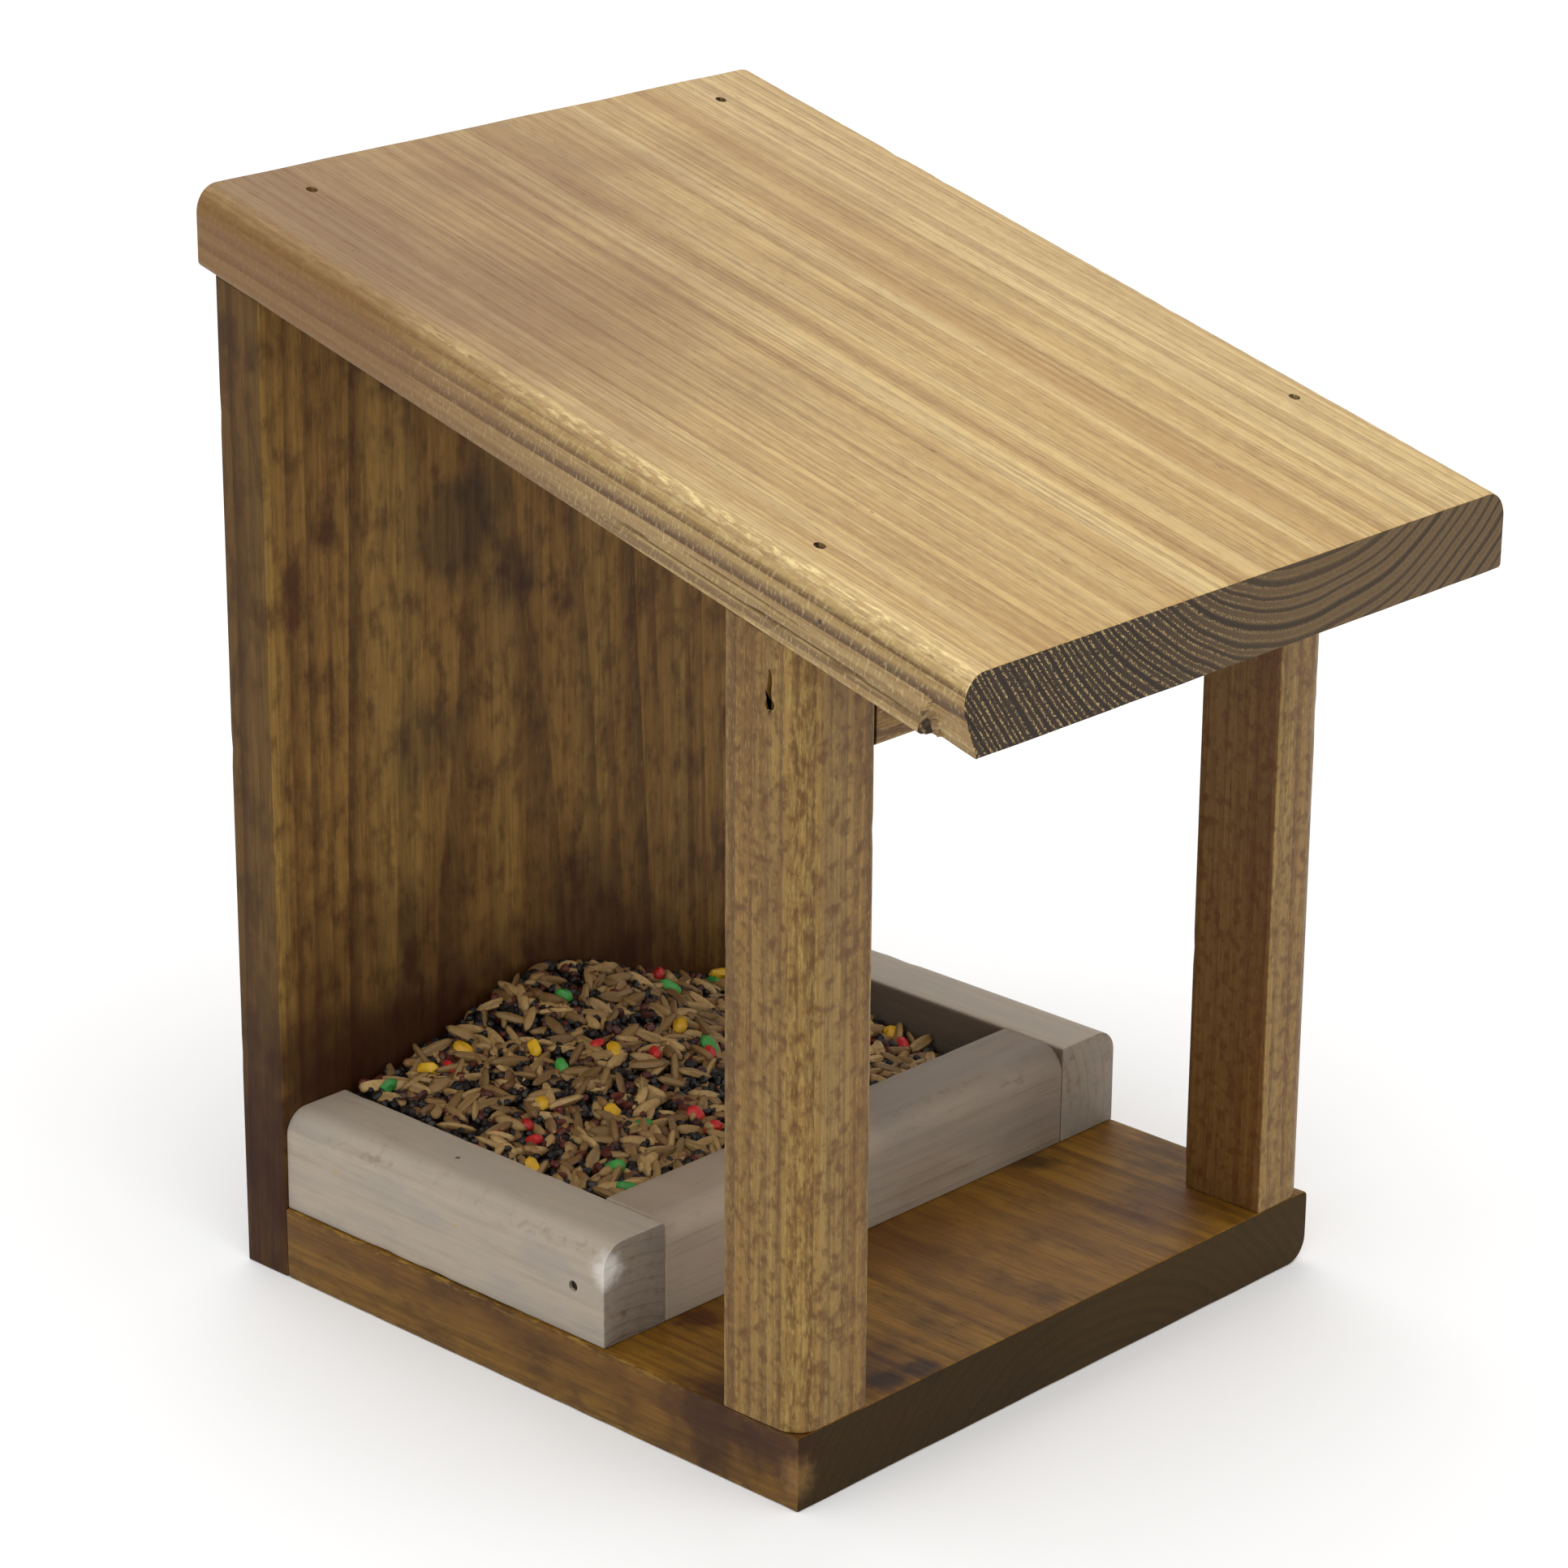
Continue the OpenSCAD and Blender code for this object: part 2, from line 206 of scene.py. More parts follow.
def woodFinish(name, look):
    # a solid texture: rings round the pith, fibres along the grain, and end grain where the cut crosses them
    material, bench = newFinish(name)
    look = {**usualWood, **look}
    tones = shaded({"curl": look["tones"]["late"], **look["tones"]}, look["shade"])
    coords = bench.add("ShaderNodeTexCoord")
    here, facing = coords.of("Object"), coords.of("Normal")
    local = bench.vector("SUBTRACT", here, look["pith"])
    u, v, w = (bench.dot(local, axis) for axis in look["axes"])
    draw = look["draw"]    # how short the streaks are along the grain

    def streaks(stretch, scale, detail, rough):
        return bench.cloud(bench.join(u, v, w * stretch), scale, detail, rough)

    drift = streaks(0.08, 22, 2, 0.45)
    leanU, leanV = look["lean"]
    radius = ((u + w * leanU) ** 2 + (v + w * leanV) ** 2) ** 0.5 + (drift - 0.5) * look["drift"]
    uneven = bench.add("ShaderNodeTexNoise", {"noise_dimensions": "1D"},
                       {"W": radius, "Scale": 90.0, "Detail": 2.0})
    phase = radius / look["ringGap"] + uneven * look["uneven"]
    turn = phase.fraction()
    strength = bench.add("ShaderNodeTexWhiteNoise", {"noise_dimensions": "1D"}, {"W": phase.whole()})
    late = turn.step(0.35, 0.88) * turn.step(1.0, 0.93) * (0.45 + 0.55 * strength)

    fibre = streaks(0.016 * draw, 1050, 5, 0.62)
    hair = streaks(look.get("hairDraw", 0.03 * draw), 3300, 3, 0.6)
    ticks = streaks(0.1, 1900, 2, 0.5).step(0.66, 0.74)
    band = streaks(0.02 * draw, 150, 3, 0.6)
    curl = streaks(look["curlDraw"], look["curlScale"], 3, 0.55)
    zone = bench.cloud(bench.join(u, v * 0.4, w * 0.01), 62, 2, 0.5)
    blotch = streaks(look["blotchDraw"], look["blotchScale"], 4, 0.6)
    face = tones["early"]
    for mask, show, over in (
            (late, "ringShow", "late"), (band.step(0.42, 0.68), "bandShow", "band"),
            (zone.step(0.46, 0.62), "zoneShow", "hair"), (fibre.step(0.35, 0.72), "fibreShow", "fibre"),
            (hair.step(0.5, 0.8), "hairShow", "hair"), (ticks, "tickShow", "tick"),
            (curl.step(0.45, 0.7), "curlShow", "curl"), (curl.step(0.42, 0.28) * 0.5, "curlShow", "early"),
            (blotch.step(0.5, 0.72), "blotchShow", "blotch")):
        face = bench.mix(mask * look[show], face, tones[over])

    grit = streaks(1.0, 1900, 3, 0.65)
    pores = streaks(1.0, 3800, 2, 0.6)
    side = u.step(*look["endSplit"])
    endLine = turn.step(0.45, 0.72) * turn.step(1.0, 0.88) * (0.6 + 0.4 * strength)
    half = (phase * look["dashRate"] + grit * 0.5).fraction()
    dash = half.step(0.0, 0.16) * half.step(0.5, 0.3) * grit.step(0.46, 0.6) * (1 - side * 0.85)
    end = bench.mix(side, tones["endDark"], tones["endLight"])
    for mask, over in ((grit.step(0.35, 0.7) * 0.5, "endGrit"), (endLine * look["endShow"], "endLine"),
                       (dash * look["dashShow"], "endDash"), (pores.step(0.58, 0.7) * 0.5, "endLine")):
        end = bench.mix(mask, end, tones[over])
    cross = abs(bench.dot(facing, look["axes"][2])).step(0.6, 0.82)
    colour = bench.mix(cross, face, end)

    arris = bench.add("ShaderNodeAttribute", {"attribute_name": "arris"}).of("Fac")
    # pale specks on the worn arrises; on the roof, with its near-white tone, they are also a painted sheen
    wearAndSheen = arris.step(0.45, 0.95) * streaks(0.22, 900, 4, 0.65).step(0.47, 0.64)
    colour = bench.mix(wearAndSheen * look["wearAndSheenShow"] * (1 - cross), colour, tones["wearAndSheen"])
    # painted shade in the roof's cracks and torn step
    crackShade = bench.add("ShaderNodeAttribute", {"attribute_name": "crackShade"}).of("Fac")
    colour = bench.mix(crackShade * 0.75, colour, tint(44, 30, 20))
    roughness = look["rough"] + (fibre - 0.5) * 0.3 + cross * (0.82 - look["rough"])
    height = fibre * 0.5 + hair * 0.2 - late * 0.35 - ticks * 0.5 + cross * (grit - endLine * 0.6)
    if "wash" in look:
        # a thin brushed white coat, worn from the arrises and thin over the late wood
        wash = look["wash"]
        brush = streaks(0.05, 480, 4, 0.55)
        thick = streaks(0.3, 75, 5, 0.62)
        bare = late * 0.1 + brush.step(0.5, 0.25) * 0.14 + thick.step(0.45, 0.7) * 0.42
        bare = bare + arris.step(0.6, 1.0) * bench.cloud(here, 260, 3, 0.6).step(0.5, 0.7) * 0.3
        bare = bare + bench.dot(facing, toTop).step(0.55, 0.9) * wash["topBare"] + cross * 0.12
        cover = bare.step(1.2, 0.1) * wash["cover"]
        paint = bench.mix(thick.step(0.38, 0.6), wash["cool"], wash["warm"])
        paint = bench.mix(brush.step(0.45, 0.75) * 0.35, paint, wash["grey"])
        paint = bench.mix(bench.cloud(here, 260, 1, 0.4).step(0.79, 0.81) * 0.7, paint, wash["speck"])
        colour = bench.mix(cover, colour, paint)
        roughness = roughness * 0.4 + 0.33
        height = height * 0.6 + cover * 0.8
    # tints by the way a side faces; on the tray and the right post they are painted shade and painted light
    for part in look["flanks"]:
        seen = bench.dot(facing, part["facing"]).step(0.45, 0.95)
        colour = bench.mix(seen * part["show"], colour, part["tint"])
        colour = bench.mix(seen * late * part["lines"], colour, part["lineTint"])
        sawn = bench.cloud(bench.join(u * 0.3, v * 0.3, w), 1500, 3, 0.6).step(0.52, 0.68)
        colour = bench.mix(seen * sawn * part["saw"], colour, tones["hair"])
    # round patches: stains, and on the tray painted light and shade
    for part in look["stainsAndPaintedLight"]:
        far = bench.vector("DISTANCE", here, part["at"]).of("Value")
        ragged = far + (bench.cloud(here, part["rag"], 3, 0.6) - 0.5) * part["size"]
        solid = ragged.step(part["size"], part["size"] * part["core"])
        colour = bench.mix(solid * part["show"], colour, part["tint"])
    closeFinish(bench, {"Base Color": colour, "Roughness": roughness, "Specular IOR Level": look["gloss"]},
                height, look["relief"] * mm)
    return material


def newObject(name, data):
    obj = bpy.data.objects.new(name, data)
    bpy.context.scene.collection.objects.link(obj)
    return obj


def meshFrom(shape, name):
    # a bmesh as a mesh, its faces turned outwards
    bmesh.ops.recalc_face_normals(shape, faces=shape.faces)
    mesh = bpy.data.meshes.new(name)
    shape.to_mesh(mesh)
    shape.free()
    return mesh


def writeField(mesh, name, values):
    # one number for each point of a mesh
    field = mesh.attributes.new(name, "FLOAT", "POINT")
    field.data.foreach_set("value", np.array(values, np.float32).ravel())


def sectionPoints(width, thick, radii, gap, fine=None):
    # a rectangle with rounded corners (low left, low right, high right, high left), in turn, as points with
    # their outward directions and their nearness to an arris
    corners = [(0, 0), (width, 0), (width, thick), (0, thick)]
    points, outward = [], []
    for i, (cx, cy) in enumerate(corners):
        r = max(radii[i], 0.3 * mm)
        mx = cx + (r if cx == 0 else -r)
        my = cy + (r if cy == 0 else -r)
        start = pi + i * pi / 2
        steps = max(3, int(round(r / (0.9 * mm))) + 2)
        for k in range(steps + 1):
            a = start + (pi / 2) * k / steps
            points.append((mx + r * cos(a), my + r * sin(a)))
            outward.append((cos(a), sin(a)))
        nextR = max(radii[(i + 1) % 4], 0.3 * mm)
        nx, ny = corners[(i + 1) % 4]
        end = [(nx - nextR, 0), (width, ny - nextR), (nx + nextR, thick), (0, ny + nextR)][i]
        begin = points[-1]
        length = sqrt((end[0] - begin[0]) ** 2 + (end[1] - begin[1]) ** 2)
        ways = [0.0]
        while ways[-1] < length:
            at = (begin[0] + (end[0] - begin[0]) * ways[-1] / length,
                  begin[1] + (end[1] - begin[1]) * ways[-1] / length)
            near = fine and sqrt(at[0] ** 2 + at[1] ** 2) < fine["reach"]
            ways.append(ways[-1] + (fine["gap"] if near else gap))
        for way in ways[1:-1]:
            if length - way > 0.4 * (fine["gap"] if fine and way < fine["reach"] else gap):
                f = way / length
                points.append((begin[0] + (end[0] - begin[0]) * f, begin[1] + (end[1] - begin[1]) * f))
                outward.append(((0, -1), (1, 0), (0, 1), (-1, 0))[i])
    points, outward = np.array(points), np.array(outward, float)
    edge = np.full(len(points), 1e9)
    for (cx, cy), r in zip(corners, radii):
        r = max(r, 0.3 * mm)
        middle = (cx + (r if cx == 0 else -r) * 0.3, cy + (r if cy == 0 else -r) * 0.3)
        away = np.hypot(points[:, 0] - middle[0], points[:, 1] - middle[1])
        edge = np.minimum(edge, np.maximum(away - r * 0.5, 0))
    return points, outward, np.exp(-edge / (1.2 * mm))


def stationList(length, gap, fine=0.0, fineGap=0.7 * mm):
    # where the sections stand: close together at both ends, and closer still over the fine stretch
    ends = [0, 0.12 * mm, 0.3 * mm, 0.55 * mm, 0.9 * mm, 1.6 * mm]
    out = list(ends)
    while out[-1] < max(fine, 2 * mm):
        out.append(out[-1] + (fineGap if fine else 0.8 * mm))
    inner = np.arange(out[-1] + gap * 0.6, length - 3 * mm, gap)
    return np.array(out + list(inner) + [length - e for e in reversed(ends)])


def boardMesh(name, look, place, ends, shape=None):
    # place turns section points and ways along the grain into the frame; ends gives both ends' ways there
    width, thick = look["size"]
    points, outward, arris = sectionPoints(width, thick, look["radii"], look.get("gap", 5 * mm),
                                           look.get("fine"))
    start, stop = ends(points[:, 0], points[:, 1])
    nominal = float(np.mean(stop - start))
    ways = stationList(nominal, look.get("stationGap", 5 * mm), look.get("fineLength", 0.0))
    count, seed = len(points), look["seed"]
    rows, wear, cracks = [], [], []
    for way in ways:
        t = way / nominal
        along = start + (stop - start) * t
        near = min(way, nominal - way)
        inset = np.zeros(count)
        for k, (px, py) in enumerate(points):
            rough = noise.noise(Vector((px * 60, py * 60, seed + (t > 0.5) * 9)))
            rounding = look.get("endRound", 0.5 * mm) * (1 + 0.8 * rough)
            if near < rounding:
                inset[k] = rounding - sqrt(max(rounding ** 2 - (rounding - near) ** 2, 0))
            # planed faces are a little wavy, and their arrises a little dented
            swell = 0.5 + 0.5 * noise.noise(Vector((px * 30 + seed, py * 30, float(along[k]) * 14)))
            dent = max(0.0, noise.noise(Vector((px * 90, py * 90 + seed, float(along[k]) * 120))) - 0.28)
            inset[k] += look.get("wave", 0.12 * mm) * swell + look.get("dents", 0.7 * mm) * dent * arris[k]
        flat = points - outward * inset[:, None]
        flat, crackShade = shape(flat, way) if shape else (flat, np.zeros(count))
        cracks.append(crackShade)
        rows.append(place(flat[:, 0], flat[:, 1], along))
        wear.append(np.maximum(arris, 0.9 * np.exp(-near / (0.7 * mm))))
    verts = np.concatenate(rows)
    faces = []
    for j in range(len(ways) - 1):
        for k in range(count):
            n = (k + 1) % count
            faces.append((j * count + k, j * count + n, (j + 1) * count + n, (j + 1) * count + k))
    last = (len(ways) - 1) * count
    faces += [tuple(range(count))[::-1], tuple(range(last, last + count))]
    mesh = bpy.data.meshes.new(name)
    mesh.from_pydata(verts.tolist(), [], faces)
    writeField(mesh, "arris", wear)
    writeField(mesh, "crackShade", cracks)
    return finishMesh(name, mesh)


def finishMesh(name, mesh):
    tidy = bmesh.new()
    tidy.from_mesh(mesh)
    bmesh.ops.recalc_face_normals(tidy, faces=tidy.faces)
    tidy.to_mesh(mesh)
    tidy.free()
    mesh.shade_smooth()
    mesh.set_sharp_from_angle(angle=radians(42))
    return newObject(name, mesh)


def fixingsOf(node):
    # each fixing of a node as its head's middle, its way in, its length, and the radii of its head and shank
    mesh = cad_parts[node].data
    co = np.array([v.co for v in mesh.vertices], float)
    keys, group = {}, list(range(len(co)))

    def root(i):
        while group[i] != i:
            group[i] = group[group[i]]
            i = group[i]
        return i

    for i, p in enumerate(np.round(co, 6)):
        group[root(i)] = root(keys.setdefault(tuple(p), i))
    for polygon in mesh.polygons:
        for i in polygon.vertices[1:]:
            group[root(i)] = root(polygon.vertices[0])
    sets = {}
    for i in range(len(co)):
        sets.setdefault(root(i), []).append(i)
    found = []
    for members in sets.values():
        p = co[members]
        low, high = p.min(0), p.max(0)
        axis = int(np.argmax(high - low))
        others = [k for k in range(3) if k != axis]
        middle = (low + high) / 2
        away = np.hypot(*(p[:, others] - middle[others]).T)
        reach = high[axis] - low[axis]
        along, tiny = p[:, axis], 0.05 * mm
        atHigh = away[along > high[axis] - tiny].max() > away[along < low[axis] + tiny].max()
        head = middle.copy()
        head[axis] = high[axis] if atHigh else low[axis]
        way = np.zeros(3)
        way[axis] = -1 if atHigh else 1
        depth = abs(p[:, axis] - head[axis])
        found.append({"head": Vector(head), "way": Vector(way), "length": float(reach),
                      "headR": float(away.max()), "shankR": float(away[depth > reach * 0.5].max())})
    return found


holes = {
    "play": 0.1 * mm,           # between a fixing and its hole
    "flare": 0.08 * mm,         # how much the punched or countersunk mouth opens
    "mouth": 1.3 * mm,          # how far the mouth lies outside the head
    "sides": 24,
}


def holeMesh(fixing):
    play, headR, shankR = holes["play"], fixing["headR"], fixing["shankR"]
    screw = headR > 2.5 * mm
    neck = (headR - shankR) if screw else 1.2 * mm
    profile = [(0, fixing["length"] + play), (shankR + play, fixing["length"] - shankR),
               (shankR + play, neck + play), (headR + play, (0.02 * mm if screw else neck + play * 0.5)),
               (headR + play, -0.25 * mm), (headR + play + holes["flare"], -holes["mouth"]),
               (headR + play + holes["flare"] * 2, -6 * mm), (0, -6 * mm)]
    turn = fixing["way"].to_track_quat("Z", "Y").to_matrix().to_4x4()
    place = Matrix.Translation(fixing["head"]) @ turn
    shape = bmesh.new()
    turns = [2 * pi * k / holes["sides"] for k in range(holes["sides"])]
    rings = []
    for r, z in profile:
        spots = [(r * cos(a), r * sin(a), z) for a in turns] if r else [(0, 0, z)]
        rings.append([shape.verts.new(place @ Vector(p)) for p in spots])
    for a, b in zip(rings, rings[1:]):
        for k in range(len(turns)):
            n = (k + 1) % len(turns)
            if len(a) == 1:
                shape.faces.new([a[0], b[k], b[n]])
            elif len(b) == 1:
                shape.faces.new([a[k], b[0], a[n]])
            else:
                shape.faces.new([a[k], b[k], b[n], a[n]])
    return meshFrom(shape, "hole")


def cutHoles(obj, *nodes, extra=()):
    cutter = bmesh.new()
    for node in nodes:
        for fixing in fixingsOf(node):
            low, high = boxOf(obj)
            near = [low[k] - 7 * mm < fixing["head"][k] < high[k] + 7 * mm for k in range(3)]
            tip = fixing["head"] + fixing["way"] * fixing["length"]
            inside = [low[k] - 1 * mm < tip[k] < high[k] + 1 * mm for k in range(3)]
            if all(near) or all(inside):
                cutter.from_mesh(holeMesh(fixing))
    for mesh in extra:
        cutter.from_mesh(mesh)
    mesh = bpy.data.meshes.new("holes")
    cutter.to_mesh(mesh)
    cutter.free()
    tool = newObject("holes", mesh)
    cut = obj.modifiers.new("cut", "BOOLEAN")
    cut.operation, cut.solver, cut.object = "DIFFERENCE", "MANIFOLD", tool
    applyModifiers(obj)
    bpy.data.objects.remove(tool)
    obj.data.set_sharp_from_angle(angle=radians(42))


def boxOf(obj):
    co = np.array([v.co for v in obj.data.vertices], float)
    return co.min(0), co.max(0)


def applyModifiers(obj):
    bpy.context.view_layer.update()
    graph = bpy.context.evaluated_depsgraph_get()
    shown = obj.evaluated_get(graph)
    mesh = bpy.data.meshes.new_from_object(shown, preserve_all_data_layers=True, depsgraph=graph)
    obj.modifiers.clear()
    obj.data = mesh


def settle(obj, material, node):
    obj.data.materials.clear()
    obj.data.materials.append(material)
    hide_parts(node)
    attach(obj, "root")


roofLow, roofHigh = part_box("roof_board")
backLow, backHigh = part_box("back_board")
floorLow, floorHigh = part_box("floor_board")
leftLow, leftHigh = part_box("left_post")
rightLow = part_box("right_post")[0]
slope = (backHigh.z - leftHigh.z) / (backHigh.y - leftHigh.y)
pitch = atan(slope)
eavesZ = leftHigh.z - slope * (leftHigh.y - leftLow.y)


def underZ(y):
    return eavesZ + (y - leftLow.y) * slope


roofThick = (roofHigh.z - underZ(roofHigh.y)) * cos(pitch)
roundR, easedR, sawnR = 7 * mm, 1.5 * mm, 0.5 * mm
gap = 0.02 * mm   # boards stay this far inside their nodes

roof = {
    "size": (roofHigh.x - roofLow.x, roofThick), "radii": (easedR, easedR, roundR, roundR),
    "gap": 4.5 * mm, "stationGap": 4.5 * mm,    # the mesh's steps round the section and along the grain
    "fine": {"reach": 14 * mm, "gap": 0.55 * mm}, "fineLength": 17 * mm,
    "wave": 0.18 * mm, "seed": 3.1,
    "split": {"length": 12 * mm, "height": 12 * mm, "width": 5 * mm},
    "cracks": [{"height": 4.4 * mm, "start": 12 * mm, "stop": 118 * mm, "depth": 0.7 * mm},
               {"height": 7.6 * mm, "start": 46 * mm, "stop": 92 * mm, "depth": 0.5 * mm}],
    "axes": ((1.0, 0.0, 0.0), (0.0, -sin(pitch), cos(pitch)), (0.0, cos(pitch), sin(pitch))),
    "pith": (25 * mm, roofLow.y, underZ(roofLow.y) + 96 * mm),
    "ringGap": 3.5 * mm, "drift": 5 * mm, "uneven": 1.1, "shade": (0.94, 0.88, 0.68),
    "tones": {
        "early": (214, 184, 132), "late": (126, 88, 46), "band": (158, 118, 68), "fibre": (126, 92, 52),
        "hair": (250, 234, 194), "tick": (96, 64, 34), "blotch": (168, 126, 76), "wearAndSheen": (246, 226, 180),
        "endDark": (50, 39, 31), "endLight": (108, 88, 64), "endGrit": (64, 49, 37),
        "endLine": (36, 26, 20), "endDash": (186, 162, 124),
    },
    "endSplit": (-80 * mm, 5 * mm), "ringShow": 0.5, "bandShow": 0.5, "hairShow": 0.5, "dashShow": 1.0,
    # the roof's strong pale arris specks are worn wood and a painted sheen on its rounded edges
    "draw": 0.6, "hairDraw": 0.05, "wearAndSheenShow": 0.8, "rough": 0.42, "blotchDraw": 0.12,
    "flanks": [flank(toLeft, 0.55, (106, 76, 32), 0.9, (74, 46, 16), 0.24),
               flank(toRight, 0.45, (112, 82, 40), 0.8, (76, 48, 18), 0.24)],
    "stainsAndPaintedLight": [
        # a broad darkening towards the back left end of the roof
        spot((roofLow.x, roofHigh.y, roofHigh.z - 8 * mm), 230 * mm, 0.8, (112, 74, 28), 0.1, 14),
        spot((roofLow.x + 14 * mm, 71.7 * mm, underZ(71.7 * mm) + roofThick), 0.9 * mm, 0.8,
             (70, 46, 26), 0.5, 700),
        spot((roofLow.x + 38 * mm, -81 * mm, underZ(-81 * mm) + roofThick), 0.9 * mm, 0.7,
             (120, 66, 36), 0.5, 700),
        spot((roofLow.x, roofLow.y + 44 * mm, underZ(roofLow.y + 44 * mm) + 12 * mm), 0.8 * mm, 0.9,
             (40, 26, 18), 0.5, 700),
    ],
}


def roofPlace(a, b, s):
    # s runs up the slope from above the left post's front edge
    x = roofLow.x + gap + a * (1 - 2 * gap / roof["size"][0])
    y = np.clip(leftLow.y + s * cos(pitch) - b * sin(pitch), roofLow.y + gap, roofHigh.y - gap)
    z = eavesZ + s * sin(pitch) + b * cos(pitch)
    return np.stack([x, y, z], 1)


def roofEnds(a, b):
    low = (roofLow.y + gap - leftLow.y + b * sin(pitch)) / cos(pitch)
    high = (roofHigh.y - gap - leftLow.y + b * sin(pitch)) / cos(pitch)
    return low, high


def roofSplit(flat, way):
    # the lower left arris is split off at the front, and the wood behind it is torn in steps and cracked; the
    # torn step and the cracks are darkened with painted shade
    split = roof["split"]
    out, dark = flat.copy(), np.zeros(len(flat))
    for k, (a, b) in enumerate(flat):
        if a > split["width"] * 2 or b > split["height"] * 1.4:
            continue
        ragged = noise.noise(Vector((a * 500, b * 700, way * 220)))
        fade = 1 - min(max((way + ragged * 2.2 * mm - split["length"]) / (1.6 * mm), 0), 1)
        nick = 0.85 * np.exp(-((way - split["length"] - 0.4 * mm) / (1.3 * mm)) ** 2) * (b < 6 * mm)
        reach = max(fade, nick)
        if reach > 0.02:
            w, h = split["width"] * reach, split["height"] * reach
            inside = 1 - a / w - b / h
            if inside > 0:
                far = inside * w * h / sqrt(w * w + h * h)
                steps = 0.35 * mm * noise.noise(Vector((a * 300, b * 900, way * 90)))
                out[k] += (far + steps) * np.array([h, w]) / sqrt(w * w + h * h)
                # painted shade in the torn step
                dark[k] = 0.7 * min(nick, 1.0) + 0.15 * (ragged > 0.1)
        for crackLine in roof["cracks"]:
            sway = noise.noise(Vector((way * 30, crackLine["height"] * 900, 1)))
            middle = crackLine["height"] + 0.5 * mm * sway
            ends = min(way - crackLine["start"], crackLine["stop"] - way) / (12 * mm)
            if a < 1.5 * mm and ends > 0 and abs(b - middle) < 0.36 * mm:
                out[k, 0] += crackLine["depth"] * min(ends, 1)
                # painted shade along the crack
                dark[k] = max(dark[k], 0.85 * min(ends * 1.5, 1))
    return out, dark


roofBoard = boardMesh("roofBoard", roof, roofPlace, roofEnds, roofSplit)
cutHoles(roofBoard, "roof_brads")
settle(roofBoard, woodFinish("roofWood", roof), "roof_board")
print("roof made:", len(roofBoard.data.polygons), "faces")


def makeTimber(name, node, look, fixings, turned, fit=(0.0, 0.0), mirrored=False, cuts=()):
    # a straight board in its node's box; turned gives the frame's axes of its section's sides and its grain
    low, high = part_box(node)
    first, second, along = turned
    width, thick = high[first] - low[first], high[second] - low[second]
    look = dict(look, size=(width, thick),
                axes=[tuple(float(k == axis) for k in range(3)) for axis in turned])

    def place(a, b, s):
        a = width - a if mirrored else a
        point = [s, s, s]
        point[first] = low[first] + fit[0] + a * (1 - 2 * fit[0] / width)
        point[second] = low[second] + fit[1] + b * (1 - 2 * fit[1] / thick)
        return np.stack(point, 1)

    def ends(a, b):
        # an upright board ends under the sloping roof
        stop = underZ(low.y + b) - gap if along == 2 else np.full(len(a), high[along] - gap)
        return np.full(len(a), low[along] + gap), stop

    timber = boardMesh(name, look, place, ends)
    cutHoles(timber, *fixings, extra=cuts)
    settle(timber, woodFinish(name.replace("Board", "") + "Wood", look), node)


upright, alongY, alongX = (0, 1, 2), (0, 2, 1), (1, 2, 0)
back = {
    "radii": (sawnR, sawnR, sawnR, sawnR), "seed": 7.7,
    "pith": (-18 * mm, backLow.y - 70 * mm, 0.0),
    "ringGap": 4.6 * mm, "lean": (0.01, 0.02), "draw": 2.6, "curlShow": 0.6, "curlScale": 200,
    "shade": (0.97, 1.06, 0.68),
    "tones": {
        "early": (138, 98, 58), "late": (62, 36, 18), "band": (88, 54, 28), "fibre": (72, 44, 24),
        "hair": (172, 134, 88), "tick": (44, 26, 14), "blotch": (66, 32, 18), "wearAndSheen": (150, 116, 74),
        "endDark": (66, 52, 40), "endLight": (92, 74, 56), "endGrit": (74, 58, 44), "endLine": (44, 34, 26),
        "endDash": (120, 100, 74),
    },
    "rough": 0.6, "gloss": 0.16, "blotchShow": 0.8, "blotchScale": 75, "blotchDraw": 0.7, "bandShow": 0.5,
    "hairShow": 0.3, "fibreShow": 0.45,
    "flanks": [flank(toLeft, 0.65, (60, 38, 14))],
    "stainsAndPaintedLight": [
        # darker towards the bottom, near the seeds
        spot((-62 * mm, backLow.y, 30 * mm), 92 * mm, 0.92, (46, 17, 6), 0.24, 30),
        spot((20 * mm, backLow.y, 34 * mm), 75 * mm, 0.8, (50, 22, 8), 0.2, 30),
        spot((-34 * mm, backLow.y, 196 * mm), 20 * mm, 0.55, (40, 30, 20), 0.3, 60),
        spot((-12 * mm, backLow.y, 178 * mm), 14 * mm, 0.5, (46, 28, 18), 0.3, 70),
        spot((-46 * mm, backLow.y, 138 * mm), 18 * mm, 0.4, (52, 40, 26), 0.3, 60),
    ],
}
makeTimber("backBoard", "back_board", back, ["back_screws", "roof_brads"], upright, (gap, gap))

